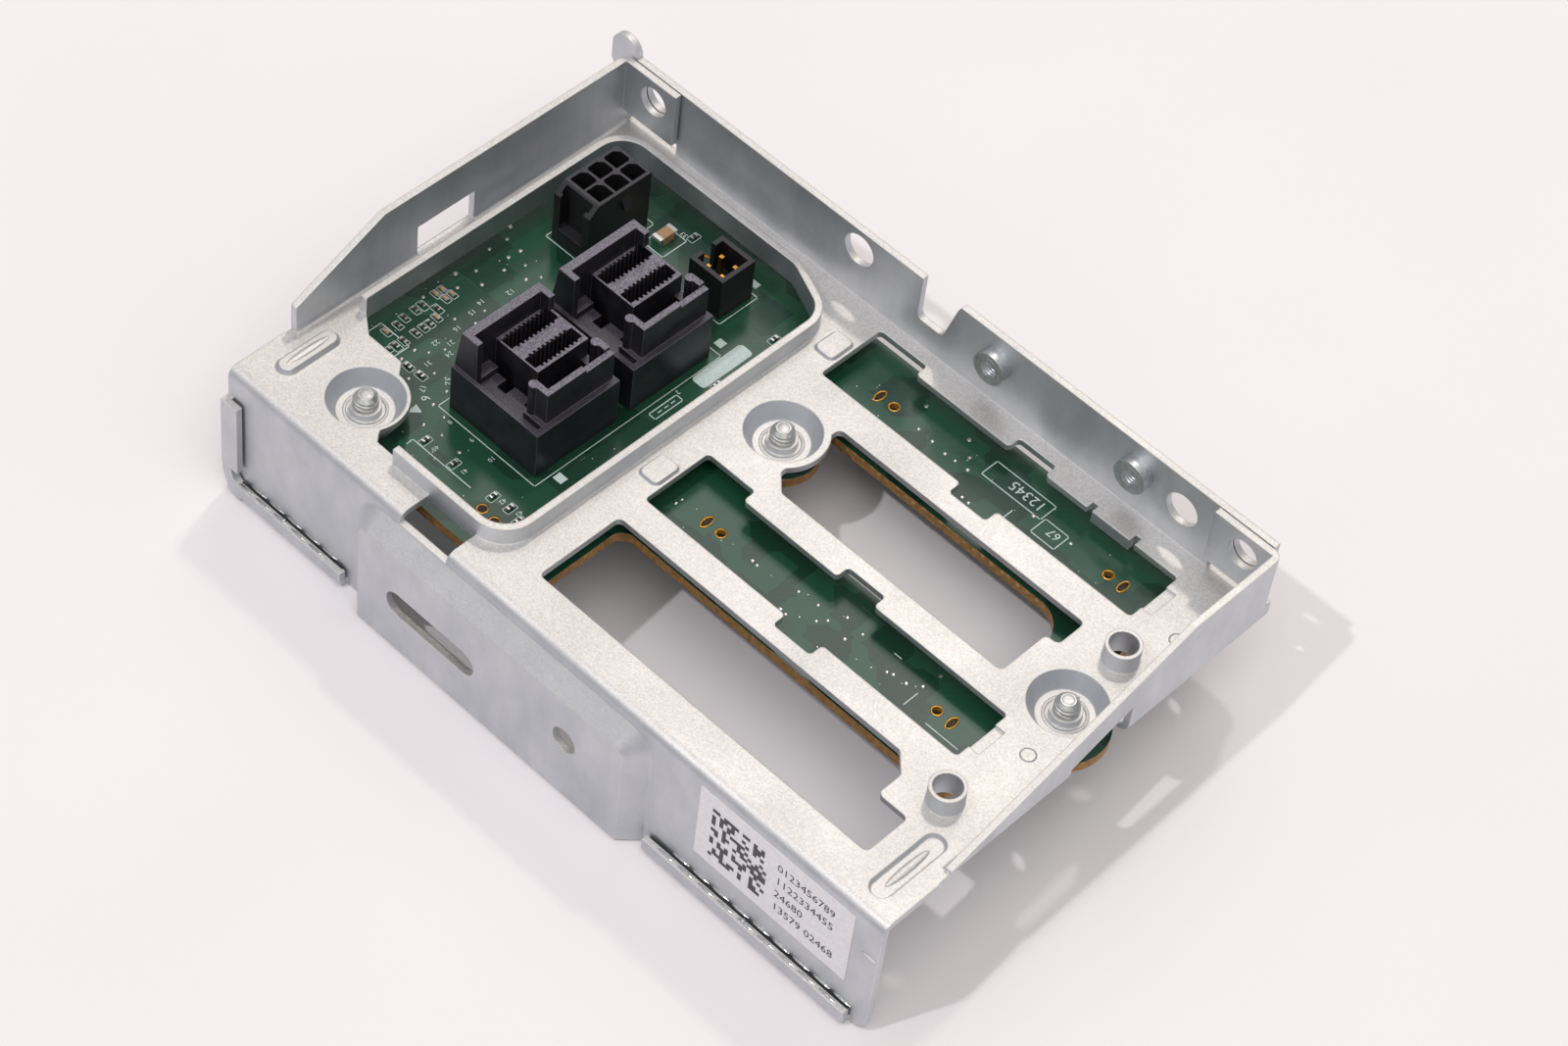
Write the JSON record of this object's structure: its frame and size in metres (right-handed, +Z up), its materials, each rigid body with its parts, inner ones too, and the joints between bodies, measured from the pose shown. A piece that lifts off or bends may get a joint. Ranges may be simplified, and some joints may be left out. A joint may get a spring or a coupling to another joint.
{
  "type": "drive backplane",
  "caption": "Formed sheet-steel drive backplane tray with a green circuit board, two upright black data ports, a power header and drive sockets below",
  "frame": {"origin": "middle of the bounding box footprint, on the plane the part stands on", "axes": "+X along the front wall to the labelled end, +Y from the front wall to the rear wall, +Z up out of the tray"},
  "size_m": [0.1178, 0.0734, 0.0361],
  "materials": {
    "zinc_sheet": "zinc plated, satin",
    "nut_steel": "zinc plated",
    "board_laminate": "green solder mask over glass laminate",
    "port_plastic": "glass filled, fine texture",
    "header_plastic": "glass filled, fine texture",
    "receptacle_plastic": "glass filled, smooth",
    "contact_metal": "gold flash over nickel",
    "screw_steel": "zinc plated",
    "washer_steel": "zinc plated",
    "capacitor_ceramic": "fired ceramic",
    "chip_plastic": "moulded epoxy",
    "filter_case": "moulded epoxy",
    "coil_ferrite": "pressed ferrite",
    "lamp_resin": "clear resin",
    "label_film": "printed polyester film"
  },
  "bodies": {
    "root": {"bracket": "zinc_sheet", "clinch_nuts": "nut_steel", "circuit_board": "board_laminate", "board_screws": "screw_steel", "board_washers": "washer_steel", "data_port_1_housing": "port_plastic", "data_port_2_housing": "port_plastic", "data_port_1_contacts": "contact_metal", "data_port_2_contacts": "contact_metal", "power_header_housing": "header_plastic", "power_header_pins": "contact_metal", "signal_header_housing": "header_plastic", "signal_header_pins": "contact_metal", "drive_receptacle_1_housing": "receptacle_plastic", "drive_receptacle_2_housing": "receptacle_plastic", "drive_receptacle_1_contacts": "contact_metal", "drive_receptacle_2_contacts": "contact_metal", "receptacle_board_locks": "contact_metal", "ceramic_capacitor": "capacitor_ceramic", "chip_resistors": "chip_plastic", "chip_capacitors": "capacitor_ceramic", "supply_filter_capacitors": "filter_case", "supply_coil": "coil_ferrite", "logic_chip": "chip_plastic", "drive_lamps": "lamp_resin", "front_label": "label_film"}
  },
  "joints": []
}
